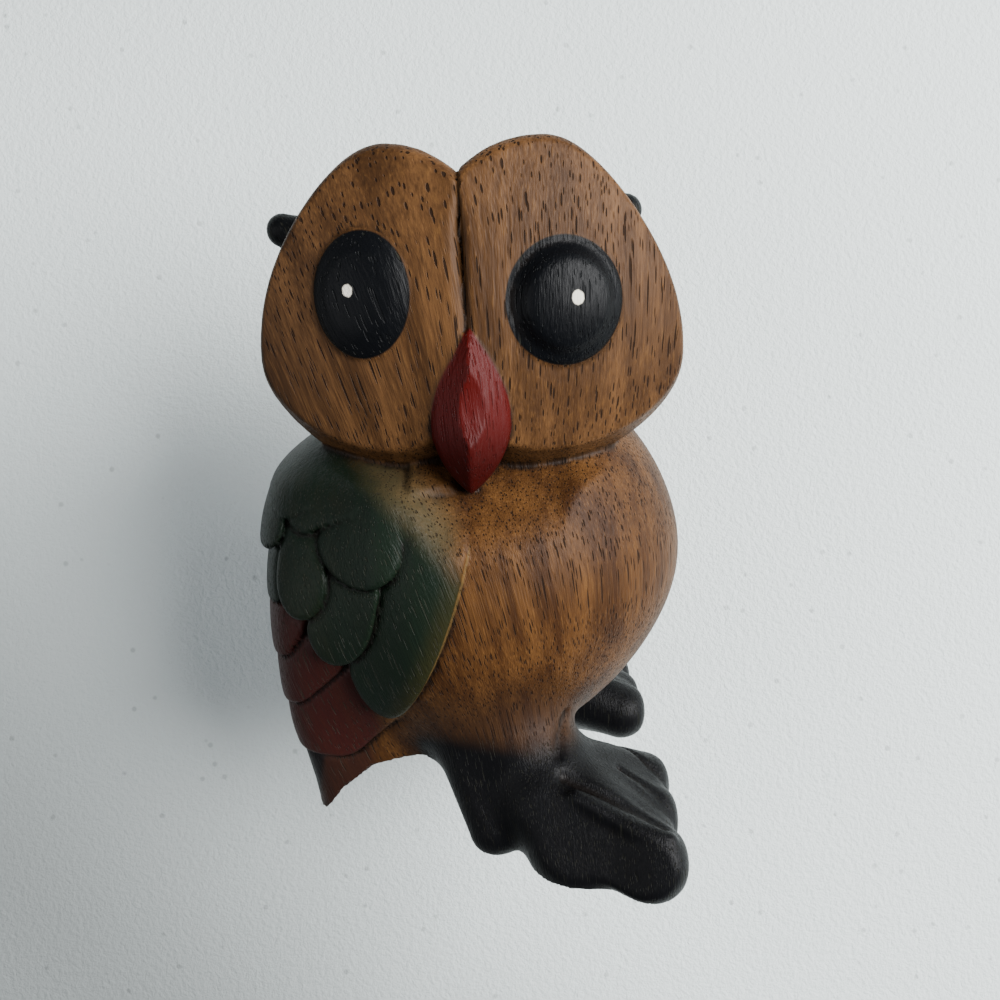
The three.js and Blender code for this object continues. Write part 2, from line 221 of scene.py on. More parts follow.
def within(value, limits, ease):
    """1 well between the two limits and 0 outside, rising over each limit's own ease."""
    return smoothstep(0, ease[0], value - limits[0]) * smoothstep(0, ease[1], limits[1] - value)


def eased(value, ease):
    """The value where it is positive and 0 where it is not, with a soft bend between."""
    near = np.clip(value + ease, 0, 2 * ease)
    return near ** 2 / (4 * ease) + np.maximum(0, value - ease)


def between(place, stations, sizes):
    """The size at a place along its stations, with each bend drawn out."""
    return np.mean([np.interp(place + shift, stations, sizes) for shift in BEND_SHIFTS], 0)


def ridge(distance, width):
    return np.exp(-(distance / width) ** 2)


def from_line(p, line):
    """Distance from a line of points."""
    near = np.full(len(p), np.inf)
    for a, b in zip(line, line[1:]):
        along = np.subtract(b, a).astype(float)
        start = p - np.array(a)
        t = np.clip(start @ along / (along @ along), 0, 1)
        near = np.minimum(near, np.linalg.norm(start - t[:, None] * along, axis=1))
    return near


def turned(p, centre, degrees):
    a = np.radians(degrees)
    x, y, z = (p - np.array(centre)).T
    return np.stack([x * np.cos(a) + y * np.sin(a), y * np.cos(a) - x * np.sin(a), z], 1)


# The body and its feathers

def chest_facet(p):
    """Distance in front of the facet under the chin, which runs out into breast and shoulder."""
    x, y, z = p.T
    steep = np.hypot(CHEST["rise"], CHEST["run"])
    plane = ((np.abs(y) - CHEST["y"]) * CHEST["run"] + (z - CHEST["z"]) * CHEST["rise"]) / steep
    ends = smoothstep(*CHEST["breast"], x) + smoothstep(*CHEST["shoulder"], x)
    return plane - CHEST["ends"] * ends * (1 - smoothstep(*CHEST["neck"], z))


def body_form(p):
    x, y, z = p.T
    lean = eased(LEAN_TOP - z, LEAN_EASE) * BELLY_LEAN
    inset = BACK_INSET * smoothstep(0, BACK_RUN, -x)
    egg = ellipsoid(np.stack([x + lean, y, z], 1), BODY_CENTRE, BODY_RADII) + inset
    return trim(egg, chest_facet(p), CHEST["rounding"])


def throat(p):
    x, y, z = p.T
    across = within(x, THROAT["x"], THROAT["ease_x"])
    upright = within(z, THROAT["z"], THROAT["ease_z"])
    return THROAT["proud"] * across * upright * (y < 0)


def tail_form(p):
    x, y, z = p.T
    rear = between(z, TAIL_HEIGHTS, TAIL_REARS)
    half = between(z, TAIL_HEIGHTS, TAIL_HALVES)
    across = np.abs(y / half) ** TAIL_SQUARENESS
    back = np.abs(2 * x / rear - 1) ** TAIL_SQUARENESS
    tube = ((across + back) ** (1 / TAIL_SQUARENESS) - 1) * half
    return np.maximum(tube, z - TAIL_HEIGHTS[-1])


def band_edge(x, z, band):
    climb = ((band["z"] - z) + band["slope"] * (x - band["x"])) / np.hypot(1, band["slope"])
    return trim(band["z"] - z, climb, BAND_CORNER)


def front_edge(x, z):
    """Distance in front of the first feather's bowed front edge."""
    top = np.array(FRONT_EDGE["top"])
    down = np.array(FRONT_EDGE["tip"]) - top
    length = np.hypot(*down)
    along = ((x - top[0]) * down[0] + (z - top[1]) * down[1]) / length ** 2
    out = ((z - top[1]) * down[0] - (x - top[0]) * down[1]) / length
    along = np.clip(along, *FRONT_EDGE["bowed"])
    return out - FRONT_EDGE["bow"] * (1 - (2 * along - 1) ** 2)


def feather_edge(x, z, feather):
    root = np.array(feather["root"], float)
    along = np.array(feather["tip"]) - root
    length = np.hypot(*along)
    along /= length
    s = (x - root[0]) * along[0] + (z - root[1]) * along[1]
    w = (z - root[1]) * along[0] - (x - root[0]) * along[1]
    beyond = np.maximum(0, s - (length - feather["point"])) / feather["point"]
    edge = (np.hypot(w / feather["half"], beyond) - 1) * feather["half"]
    if feather is FEATHERS[0]:
        edge = trim(edge, front_edge(x, z), FRONT_EDGE["rounding"])
    return edge


def feather_layers(p):
    """The bare torso, the long bands and the round feathers, each as one distance."""
    x, _, z = p.T
    torso = blend(body_form(p), tail_form(p), TAIL_FILLET)
    bare, bands, plumes = torso, torso + NO_LAYER, torso + NO_LAYER
    fade = 1 - smoothstep(*LAYERS_END, z)
    for layer in BANDS + FEATHERS:
        is_feather = "half" in layer
        rise = smoothstep(0, WING_RUN, layer["from"] - x) * fade
        if is_feather:
            joined = layer["join"] * smoothstep(*SHOULDER_JOIN, z)
            edge = feather_edge(x, z, layer) - SHOULDER_SPREAD * joined
            dome = FEATHER_DOME * np.clip(1 + edge / layer["half"], 0, 2) ** 2 * (1 - joined)
        else:
            joined = 0
            edge = band_edge(x, z, layer)
            dome = BAND_DOME * np.clip(1 + edge / BAND_DOME_RUN, 0, 2) ** 2
        cut = LAYER_EDGE["groove"] * rise * ridge(edge, LAYER_EDGE["groove_width"]) * (1 - joined)
        bare, bands, plumes = bare + cut, bands + cut, plumes + cut
        top = torso + (dome - layer["lift"]) * rise
        raised = trim(top, edge * LAYER_EDGE["steep"], LAYER_EDGE["rounding"])
        if is_feather:
            plumes = blend(plumes, raised, LAYER_EDGE["fillet"])
        else:
            bands = blend(bands, raised, LAYER_EDGE["fillet"])
    return bare, bands, plumes


def body_with_feathers(p):
    x, _, z = p.T
    layers = np.minimum.reduce(feather_layers(p))
    skin = trim(layers, chest_facet(p) - CHEST["under_feathers"], CHEST["rounding"]) - throat(p)
    underside = (np.interp(x, UNDERSIDE_X, UNDERSIDE_Z) - z) * UNDERSIDE_SLOPE
    return np.minimum(body_form(p), np.maximum(skin, underside))


# The head

def parting_x(z):
    return np.interp(z, (PARTING_BOTTOM[1], PARTING_TOP[1]), (PARTING_BOTTOM[0], PARTING_TOP[0]))


def above_notch(p, corner):
    """Distance above the slope from a lobe's inner corner down to the notch."""
    run, fall = abs(corner[0] - NOTCH[0]), corner[1] - NOTCH[1]
    side = np.sign(corner[0] - NOTCH[0])
    return ((p[:, 2] - NOTCH[1]) * run - side * (p[:, 0] - NOTCH[0]) * fall) / np.hypot(run, fall)


def lobe_form(p, lobe):
    local = turned(p, (lobe["x"], FACE_Y, lobe["z"]), lobe["side"] * FACE_TURN)
    x, y, z = local.T
    narrowing = np.where(lobe["side"] * x > 0, lobe["taper"] * z, 0)
    width = lobe["half_width"] * (1 - narrowing)
    height = np.where(z > 0, lobe["above"], lobe["below"])
    oval = (np.hypot(x / width, z / height) - 1) * lobe["half_width"]
    rim = oval + LOBE_FLARE * np.maximum(0, y)
    front = np.sqrt(x ** 2 + (y - LOBE_CROWN + LOBE_PROUD) ** 2 + z ** 2) - LOBE_CROWN
    turn = np.radians(BEVEL["turn"])
    reach = BEVEL["high"] + (lobe["bevel"] - BEVEL["high"]) * smoothstep(*BEVEL["z"], z)
    bevel = (rim + reach) * np.cos(turn) + front * np.sin(turn)
    disc = trim(trim(rim, front, LOBE_RIM), bevel, BEVEL["rounding"])
    return trim(disc, y - LOBE_DEPTH, LOBE_BACK_ROUNDING)


def face_form(p):
    face = None
    past = p[:, 0] - parting_x(p[:, 2])
    near_top = smoothstep(*PARTING_END["z"], p[:, 2])
    depth = PARTING_DEPTH * (1 - PARTING_END["depth"] * near_top)
    for lobe in LOBES:
        whole = lobe_form(p, lobe)
        roll = lobe["roll"] * (1 - PARTING_END["roll"] * near_top)
        half = trim(whole, -lobe["side"] * past, roll)
        half = trim(half, above_notch(p, lobe["corner"]), NOTCH_ROUNDING)
        half = np.minimum(half, whole + depth)
        face = half if face is None else np.minimum(face, half)
    return face


def beak_form(p):
    x, y, z = (p - np.array(BEAK["centre"])).T
    t = z / np.where(z > 0, BEAK["above"], BEAK["below"])
    tall = (BEAK["above"] + BEAK["below"]) / 2
    arc = (tall ** 2 + BEAK["half"] ** 2) / (2 * BEAK["half"])
    outline = np.hypot(np.abs(x) + arc - BEAK["half"], t * tall) - arc
    height = BEAK["ridge"] * (1 - np.where(z > 0, *BEAK["ends"]) * t * t)
    facets = BEAK["slope"] * (-y - height + BEAK["slope"] * np.abs(x))
    bow = BEAK_FLAT["bow"] * (z - BEAK_FLAT["z"]) ** 2
    flat = -y - BEAK_FLAT["height"] - bow + BEAK_FLAT["turn"] * x
    front = trim(facets, flat, BEAK_FLAT["rounding"])
    return trim(trim(outline, front, BEAK["rounding"]), y - BEAK["root"], BEAK["back_rounding"])


def eye_outline(p, eye):
    x, _, z = turned(p, eye["centre"], eye["side"] * FACE_TURN).T
    rx, _, rz = eye["radii"]
    return (np.hypot(x / rx, z / rz) - 1) * (rx + rz) / 2


def eye_form(p, eye):
    local = turned(p, eye["centre"], eye["side"] * FACE_TURN)
    return ellipsoid(local, (0, 0, 0), eye["radii"])


def head_form(p):
    return blend(face_form(p), ellipsoid(p, SKULL_CENTRE, SKULL_RADII), SKULL_FILLET)


# The feet

def foot_form(p, side):
    q = p * np.array([1, -side, 1])
    toes = limb(q, *FOOT["outer_toe"])
    for name in ("middle_toe", "inner_toe", "outer_web", "inner_web"):
        toes = blend(toes, limb(q, *FOOT[name]), FOOT_FILLETS["toes"])
    broad = blend(toes, ellipsoid(q, *FOOT_SIDE), FOOT_FILLETS["side"])
    ankle = blend(limb(q, *FOOT["leg"]), limb(q, *FOOT["heel"]), FOOT_FILLETS["ankle"])
    foot = blend(broad, ankle, FOOT_FILLETS["leg"])
    facet = (q - np.array(FOOT_FACET["on"])) @ np.array(FOOT_FACET["lean"])
    facet = facet - FOOT_FACET["toe"] * smoothstep(*FOOT_FACET["toe_x"], q[:, 0])
    foot = trim(foot, facet, FOOT_FACET["rounding"])
    foot = trim(foot, q[:, 0] - FOOT_FRONT["x"], FOOT_FRONT["rounding"])
    for groove in FOOT_GROOVES:
        foot = foot + groove["depth"] * ridge(from_line(q, groove["line"]), groove["width"])
    for crest in FOOT_CRESTS:
        foot = foot - crest["height"] * ridge(from_line(q, crest["line"]), crest["width"])
    return foot


# The whole owl, and the separate distances that its paint follows

def owl_parts(p):
    return {
        "body": body_with_feathers(p),
        "head": head_form(p),
        "feet": np.minimum(foot_form(p, -1), foot_form(p, 1)),
        "eyes": [eye_form(p, eye) for eye in EYES],
        "beak": beak_form(p),
        "ears": np.minimum(*(limb(p, base, tip, EAR_BASE, EAR_TIP) for base, tip in EARS)),
    }


def eye_groove(p, eye):
    """How deep the groove around an eye is at each point."""
    higher = p[:, 2] - eye["centre"][2] - p[:, 0] + eye["centre"][0]
    share = EYE_GROOVE["middle"] + EYE_GROOVE["rise"] * higher
    share = np.clip(share, EYE_GROOVE["least"], EYE_GROOVE["most"])
    across = ridge(eye_outline(p, eye) + EYE_GROOVE["inside"], EYE_GROOVE["width"])
    return eye["ring"] * share * across * (p[:, 1] < 0)


def owl_form(p):
    part = owl_parts(p)
    carved = blend(part["body"], part["feet"], FILLETS["feet"])
    carved = blend(carved, part["head"], FILLETS["head"])
    carved = blend(carved, part["ears"], FILLETS["ears"])
    for eye, dome in zip(EYES, part["eyes"]):
        carved = blend(carved, dome, eye["soft"]) + eye_groove(p, eye)
    carved = blend(carved, part["beak"], FILLETS["beak"])
    return np.maximum(carved, -p[:, 2])


# Drawing a form as a mesh: one vertex in each grid cell that the surface crosses

CELL = 0.62
# Past this place in y, on the far side, the cells are deeper
FAR_FROM = 2
FAR_CELL = 1.1
GRID_LOW = (-37, -41, -2)
GRID_HIGH = (37, 41, 106)
BLOCK = 4  # the form is first sampled at every fourth grid point
REACH = 7  # and then at every point this near to it
# Each vertex is then moved onto the form in a few rounds, by a limited distance in each
DRAW_ROUNDS = 3
DRAW_MOST = 0.4
DRAW_STEP = 0.05
NORMAL_STEP = 0.12
LEAST_SLOPE = 0.05


def grid_axes():
    x = np.arange(GRID_LOW[0], GRID_HIGH[0], CELL)
    near = np.arange(GRID_LOW[1], FAR_FROM, CELL)
    far = np.arange(FAR_FROM, GRID_HIGH[1] + FAR_CELL, FAR_CELL)
    z = np.arange(GRID_LOW[2] + CELL / 3, GRID_HIGH[2], CELL)
    axes = []
    for axis in (x, np.concatenate([near[near < FAR_FROM - CELL / 2], far]), z):
        spare = (len(axis) - 1) % BLOCK
        axes.append(axis[:len(axis) - spare])
    return axes


def points_of(axes):
    return np.stack(np.meshgrid(*axes, indexing="ij"), -1).reshape(-1, 3)


def sampled(form, axes):
    coarse_axes = [axis[::BLOCK] for axis in axes]
    coarse = form(points_of(coarse_axes)).reshape([len(axis) for axis in coarse_axes])
    near = np.abs(coarse) < REACH
    values = np.repeat(np.repeat(np.repeat(coarse, BLOCK, 0), BLOCK, 1), BLOCK, 2)
    wanted = np.repeat(np.repeat(np.repeat(near, BLOCK, 0), BLOCK, 1), BLOCK, 2)
    shape = tuple(slice(0, len(axis)) for axis in axes)
    values, wanted = values[shape].copy(), wanted[shape]
    index = np.argwhere(wanted)
    p = np.stack([axes[k][index[:, k]] for k in range(3)], 1)
    values[wanted] = form(p)
    return values


def surface_of(form):
    axes = grid_axes()
    values = sampled(form, axes)
    inside = values < 0
    count = np.zeros([n - 1 for n in inside.shape], int)
    corners = [(i, j, k) for i in (0, 1) for j in (0, 1) for k in (0, 1)]
    size = count.shape
    for i, j, k in corners:
        count += inside[i:i + size[0], j:j + size[1], k:k + size[2]]
    cells = np.argwhere((count > 0) & (count < 8))
    number = np.full(size, -1)
    number[tuple(cells.T)] = np.arange(len(cells))

    total = np.zeros((len(cells), 3))
    crossings = np.zeros(len(cells))
    for a in corners:
        for axis in range(3):
            if a[axis]:
                continue
            b = tuple(1 if k == axis else a[k] for k in range(3))
            ia, ib = cells + a, cells + b
            va, vb = values[tuple(ia.T)], values[tuple(ib.T)]
            crossed = (va < 0) != (vb < 0)
            t = np.where(crossed, va / np.where(crossed, va - vb, 1), 0)[:, None]
            pa = np.stack([axes[k][ia[:, k]] for k in range(3)], 1)
            pb = np.stack([axes[k][ib[:, k]] for k in range(3)], 1)
            total += np.where(crossed[:, None], pa + t * (pb - pa), 0)
            crossings += crossed
    vertices = total / crossings[:, None]

    faces = []
    for axis in range(3):
        u, v = [(axis + 1) % 3, (axis + 2) % 3]
        low = [slice(None)] * 3
        high = [slice(None)] * 3
        low[axis], high[axis] = slice(0, -1), slice(1, None)
        first, second = inside[tuple(low)], inside[tuple(high)]
        edges = np.argwhere(first != second)
        leaving = first[tuple(edges.T)]
        around = []
        for du, dv in ((-1, -1), (0, -1), (0, 0), (-1, 0)):
            cell = edges.copy()
            cell[:, u] += du
            cell[:, v] += dv
            around.append(number[tuple(cell.T)])
        quad = np.stack(around, 1)
        quad[~leaving] = quad[~leaving][:, ::-1]
        faces.append(quad)
    return vertices, np.concatenate(faces)


def slope_of(form, p, step):
    slope = np.zeros_like(p)
    for axis in range(3):
        side = np.zeros(3)
        side[axis] = step
        slope[:, axis] = (form(p + side) - form(p - side)) / (2 * step)
    return slope


def drawn_onto(form, p):
    for _ in range(DRAW_ROUNDS):
        slope = slope_of(form, p, DRAW_STEP)
        steep = np.maximum((slope ** 2).sum(1), LEAST_SLOPE)
        move = slope * (form(p) / steep)[:, None]
        length = np.linalg.norm(move, axis=1, keepdims=True) + TINY
        p = p - move * np.minimum(1, DRAW_MOST / length)
    return p


# Where each paint lies, worked out at every vertex. Distances are in millimetres, negative
# inside the painted area, and shares run from 0 to 1.

# The green of the wing fades out towards the throat, across a slanting line in the side view
FADE_LINE = {"on": (-12.7, 61.2), "across": (0.68, 0.733)}
DOTS = ((-1.3, 0.6), (0.9, 0.5))
DOT_RADIUS = 0.78
DOT_HEIGHT = 0.85  # upright distances count this much, so a dot is taller than it is wide
# The eyes' paint is only in front of this place in y
EYES_FRONT = -15
AWAY = 20  # a distance that is well outside any paint
FULL = (0, 0.4)  # a layer is fully painted where it stands this far proud of the others
BODY_EDGE = (-0.5, 0.5)
FACE_EDGE = (-0.3, 0.3)
# Where each paint of the wing begins, and where it is full, in x
PLUMES_X = (-5, -10)
MAROON_X = (-11, -17)
TAIL_X = (-13, -18)
STRIP = {"x": (-21, -23), "lean": 0.2, "z": 17}
# The black of the feet runs out over the body, and up the legs to between these heights
BLACK = {"reach": (0.5, 4), "z": (14, 21)}
SOOT_REACH = (0, 7)
EAR_PAINT = 0.3


def dot_outline(p, eye, dot):
    x, _, z = turned(p, eye["centre"], eye["side"] * FACE_TURN).T
    return np.hypot(x - dot[0], (z - dot[1]) * DOT_HEIGHT) - DOT_RADIUS


def past_fade(x, z):
    """Distance past the slanting line where the green of the wing fades out."""
    on, across = FADE_LINE["on"], FADE_LINE["across"]
    return (x - on[0]) * across[0] + (z - on[1]) * across[1]


def paint_masks(p):
    x, y, z = p.T
    part = owl_parts(p)
    bare, bands, plumes = feather_layers(p)
    body = smoothstep(*BODY_EDGE, np.minimum(part["head"], part["feet"]) - part["body"])
    eyes = np.minimum(*(eye_outline(p, eye) + eye["inset"] for eye in EYES))
    dots = np.minimum(*(dot_outline(p, eye, dot) for eye, dot in zip(EYES, DOTS)))
    behind = np.where(y < EYES_FRONT, 0, AWAY)
    plumed = smoothstep(*FULL, np.minimum(bare, bands) - plumes)
    banded = smoothstep(*FULL, np.minimum(bare, plumes) - bands)
    tail = body * smoothstep(*FULL, np.minimum(bands, plumes) - bare) * smoothstep(*TAIL_X, x)
    return {
        "eye": eyes + behind,
        "dot": dots + behind,
        "beak": part["beak"] - np.minimum(part["head"], part["body"]),
        "ear": part["ears"] - EAR_PAINT,
        "leaf": feather_edge(x, z, FEATHERS[0]) + AWAY * (1 - body),
        "front": front_edge(x, z) + AWAY * (1 - body),
        "plumes": body * plumed * smoothstep(*PLUMES_X, x),
        "fade": past_fade(x, z),
        "maroon": body * banded * smoothstep(*MAROON_X, x),
        "tail": tail,
        "strip": tail * smoothstep(*STRIP["x"], x + STRIP["lean"] * (STRIP["z"] - z)),
        "black": (1 - smoothstep(*BLACK["reach"], part["feet"])) * (1 - smoothstep(*BLACK["z"], z)),
        "soot": 1 - smoothstep(*SOOT_REACH, part["feet"]),
        "face": 1 - smoothstep(*FACE_EDGE, part["head"] - part["body"]),
    }


# How often the skin is smoothed before it is compared with itself
SMOOTHINGS = (("close", 3), ("wide", 14))


def relief_masks(p, faces, normals):
    """How hollow or proud each vertex is of its surroundings, close by and further out."""
    masks = {}
    flat = p.copy()
    for name, rounds in SMOOTHINGS:
        for _ in range(rounds):
            total = np.zeros_like(flat)
            number = np.zeros(len(flat))
            for a, b in ((0, 1), (1, 2), (2, 3), (3, 0)):
                for i, j in ((a, b), (b, a)):
                    number += np.bincount(faces[:, i], minlength=len(flat))
                    for axis in range(3):
                        total[:, axis] += np.bincount(
                            faces[:, i], weights=flat[faces[:, j], axis], minlength=len(flat)
                        )
            flat = total / number[:, None]
        masks[name] = ((flat - p) * normals).sum(1)
    return masks


def owl_piece():
    vertices, faces = surface_of(owl_form)
    vertices = drawn_onto(owl_form, vertices)
    normals = slope_of(owl_form, vertices, NORMAL_STEP)
    normals /= np.linalg.norm(normals, axis=1, keepdims=True) + TINY
    low, high = vertices.min(0), vertices.max(0)
    middle = np.array([(low[0] + high[0]) / 2, (low[1] + high[1]) / 2, 0])
    mesh = bpy.data.meshes.new("owl_carving")
    mesh.vertices.add(len(vertices))
    mesh.vertices.foreach_set("co", ((vertices - middle) * MM).ravel())
    mesh.loops.add(faces.size)
    mesh.loops.foreach_set("vertex_index", faces.ravel())
    mesh.polygons.add(len(faces))
    mesh.polygons.foreach_set("loop_start", np.arange(0, faces.size, 4))
    mesh.polygons.foreach_set("use_smooth", np.ones(len(faces), bool))
    mesh.update(calc_edges=True)
    mesh.validate()
    mesh.normals_split_custom_set_from_vertices(normals)
    masks = {**paint_masks(vertices), **relief_masks(vertices, faces, normals)}
    for name, values in masks.items():
        mask = mesh.attributes.new(name, "FLOAT", "POINT")
        mask.data.foreach_set("value", values.astype(np.float32))
    piece = bpy.data.objects.new("owl_carving", mesh)
    bpy.context.collection.objects.link(piece)
    return piece, middle


# Materials. Colours are given as seen on a screen, 0 to 255. Each layer covers what is below
# it by its share, and sets in or runs out between the limits of the noise, mask or place that
# they are named after. Places in the materials are in metres, sizes of the grain in millimetres.

BROWNS = ((48, 27, 10), (80, 52, 25))
FACE_BROWNS = ((58, 37, 18), (88, 60, 34))
RING_LIMITS = (0.3, 0.7)
STREAK = {"colour": (38, 21, 9), "share": 0.35, "streaks": (0.42, 0.75)}
DARK_FIBRE = {"colour": (32, 18, 8), "share": 0.45, "fibre": (0.4, 0.75)}
LIGHT_FIBRE = {"colour": (118, 84, 46), "share": 0.24, "fibre": (0.25, 0.45)}
SOOT = {"colour": (30, 20, 15), "share": 0.65}
# A grey-olive haze where the green of the wing fades out towards the throat: partly thin overspray of the
# green, partly a painted sheen
MIST_AND_SHEEN = {"colour": (62, 60, 42), "share": 0.6, "fade": (-2, 3.5), "front": (-5, 0.5), "leaf": (-1, 2)}
GREEN = {"colour": (6, 21, 14), "share": 0.94, "leaf": (-0.3, 0.1), "fade": (-6, -0.5)}
OLIVE = {"colour": (34, 33, 13), "share": 0.6, "front": (-4, -0.5), "leaf": (0, 1)}
# Darker in the hollows, close by and further out: partly the dark stain that gathers there, partly painted
# shade
HOLLOW_STAIN_AND_SHADE = {"colour": (12, 8, 6), "share": 0.8, "close": (0.02, 0.22), "wide": (0.15, 1.3)}
WORN = {"colour": (98, 80, 46), "share": 0.4, "width": 0.16, "blotch": (0.3, 0.5), "leaf": (0.5, 1),
        "fade": (-1.5, 0.5)}
# Painted shade on the lower beak, where it turns down and under
BEAK_TIP_SHADE = {"colour": (20, 3, 2), "share": 0.6, "z": (0.0585, 0.0675), "beak": (0, 0.3)}
DOT = {"colour": (214, 208, 192), "dot": (-0.1, 0.1)}
# Paints that run out softly, and paints with a sharp edge
SOFT_PAINTS = {
    "maroon": {"colour": (44, 16, 15), "share": 0.9},
    "tail": {"colour": (38, 20, 16), "share": 0.85},
    "strip": {"colour": (9, 8, 9), "share": 0.9},
    "black": {"colour": (6, 7, 9), "share": 0.98},
}
SOFT_LIMITS = (0.1, 0.9)
SHARP_PAINTS = {"beak": (62, 8, 6), "ear": (8, 9, 10), "eye": (5, 6, 8)}
SHARP_LIMITS = (-0.15, 0.15)
# Pores show less in paint, a little less in the black, and not in the eyes and the beak
WOOD_PORE = (22, 12, 6)
PAINTED_PORE = (44, 44, 34)
PORE_SHARE = {"wood": 0.9, "paint": -0.5, "black": -0.25, "eye": (-1, 0), "beak": (-0.5, 0.3)}

# How uneven the edges of the paints are: a broad noise, how far it moves fading and soft
# edges, and how far it moves a sharp one, in millimetres
BLOTCHES = 90
UNEVEN = (1.2, -0.6)
UNEVEN_FADE = 2
UNEVEN_SOFT = 0.25
UNEVEN_SHARP = 0.35

ROUGHNESS = {"least": 0.36, "fibre": 0.25, "paint": -0.08, "pore": 0.25}
SPECULAR = 0.09
RELIEF = {"pore": -0.14, "fibre": -0.09, "streaks": -0.1, "blotch": 0.28}
RELIEF_HEIGHT = 0.001

# Size across the grain and along it
RINGS = (4, 60)
STREAKS = (0.7, 12)
FIBRES = (0.25, 4)
# Pores: the space that each has across and along, how wide it is in that, and an offset
SMALL_PORES = (0.45, 6, 0.22, 0)
LARGE_PORES = (0.7, 15, 0.2, 5.3)
# The grain leans by "most" on the tail's side of x, and on the head this side ends sooner
GRAIN_LEAN = {"most": 0.4, "x": (-0.008, 0.036), "about_z": 0.06, "head_z": (0.055, 0.065), "head": 0.022}
GRAIN_WANDER = {"scale": 60, "by": 0.0012}
GRAIN_NOISE = {"scale": 1, "detail": 2, "roughness": 0.6}
PORE_EDGE = (0.7, 1.15)


def tone(red, green, blue):
    """A colour as seen on a screen as the linear colour that a shader takes."""
    seen = np.array([red, green, blue]) / 255
    linear = np.where(seen <= 0.04045, seen / 12.92, ((seen + 0.055) / 1.055) ** 2.4)
    return (*linear, 1)


class Paintbox:
    """Short ways to add and join the nodes of one material."""

    def __init__(self, name):
        self.material = bpy.data.materials.new(name)
        self.material.use_nodes = True
        self.tree = self.material.node_tree
        self.shader = self.tree.nodes["Principled BSDF"]

    def set(self, socket, value):
        if isinstance(value, bpy.types.NodeSocket):
            self.tree.links.new(value, socket)
        else:
            socket.default_value = value

    def node(self, kind, inputs=(), **settings):
        node = self.tree.nodes.new(kind)
        for name, value in settings.items():
            setattr(node, name, value)
        for name, value in dict(inputs).items():
            self.set(node.inputs[name], value)
        return node

    def math(self, operation, *values):
        node = self.tree.nodes.new("ShaderNodeMath")
        node.operation = operation
        for socket, value in zip(node.inputs, values):
            self.set(socket, value)
        return node.outputs[0]

    def step(self, value, low, high):
        node = self.node("ShaderNodeMapRange", interpolation_type="SMOOTHSTEP")
        for name, number in (("Value", value), ("From Min", low), ("From Max", high)):
            self.set(node.inputs[name], number)
        return node.outputs["Result"]

    def fall(self, value, low, high):
        return self.math("SUBTRACT", 1, self.step(value, low, high))

    def ridge(self, value, width):
        return self.fall(self.math("ABSOLUTE", value), width * 0.5, width * 1.5)

    def mask(self, name):
        return self.node("ShaderNodeAttribute", attribute_name=name).outputs["Fac"]

    def times(self, value, *others):
        for other in others:
            value = self.math("MULTIPLY", value, other)
        return value

    def mix(self, share, a, b):
        node = self.tree.nodes.new("ShaderNodeMix")
        node.data_type = "RGBA"
        self.set(node.inputs[0], share)
        self.set(node.inputs[6], a)
        self.set(node.inputs[7], b)
        return node.outputs[2]

    def lay(self, colour, layer, amount):
        """A layer over a colour: by its full share where the amount is 1."""
        return self.mix(self.times(amount, layer["share"]), colour, tone(*layer["colour"]))

    def noise(self, place, scale, detail=2, roughness=0.5):
        inputs = {"Vector": place, "Scale": scale, "Detail": detail, "Roughness": roughness}
        return self.node("ShaderNodeTexNoise", inputs).outputs["Fac"]


def grain_place(box, across, along, offset=0):
    """Coordinates that run with the grain: up, and leaning over towards the tail."""
    place = box.node("ShaderNodeTexCoord").outputs["Object"]
    parts = box.node("ShaderNodeSeparateXYZ", {"Vector": place}).outputs
    head = box.times(box.step(parts["Z"], *GRAIN_LEAN["head_z"]), GRAIN_LEAN["head"])
    left = box.fall(box.math("ADD", parts["X"], head), *GRAIN_LEAN["x"])
    height = box.math("SUBTRACT", parts["Z"], GRAIN_LEAN["about_z"])
    x = box.math("ADD", parts["X"], box.times(left, GRAIN_LEAN["most"], height))
    wander = box.noise(place, GRAIN_WANDER["scale"], 1)
    x = box.math("ADD", x, box.times(wander, GRAIN_WANDER["by"]))
    place = box.node("ShaderNodeCombineXYZ", {
        "X": box.math("MULTIPLY", x, 1000 / across),
        "Y": box.math("MULTIPLY", parts["Y"], 1000 / across),
        "Z": box.math("MULTIPLY_ADD", parts["Z"], 1000 / along, offset),
    })
    return place.outputs["Vector"]


def grain_noise(box, size):
    return box.noise(grain_place(box, *size), **GRAIN_NOISE)


def pores(box, across, along, size, offset):
    place = grain_place(box, across, along, offset)
    cells = box.node("ShaderNodeTexVoronoi", {"Vector": place, "Scale": 1, "Randomness": 1})
    return box.fall(cells.outputs["Distance"], size * PORE_EDGE[0], size * PORE_EDGE[1])


def bare_wood(box, streaks, fibre):
    rings = box.step(grain_noise(box, RINGS), *RING_LIMITS)
    brown = box.mix(rings, tone(*BROWNS[0]), tone(*BROWNS[1]))
    face = box.mix(rings, tone(*FACE_BROWNS[0]), tone(*FACE_BROWNS[1]))
    wood = box.mix(box.mask("face"), brown, face)
    wood = box.lay(wood, STREAK, box.step(streaks, *STREAK["streaks"]))
    wood = box.lay(wood, DARK_FIBRE, box.step(fibre, *DARK_FIBRE["fibre"]))
    wood = box.lay(wood, LIGHT_FIBRE, box.fall(fibre, *LIGHT_FIBRE["fibre"]))
    return box.lay(wood, SOOT, box.mask("soot"))


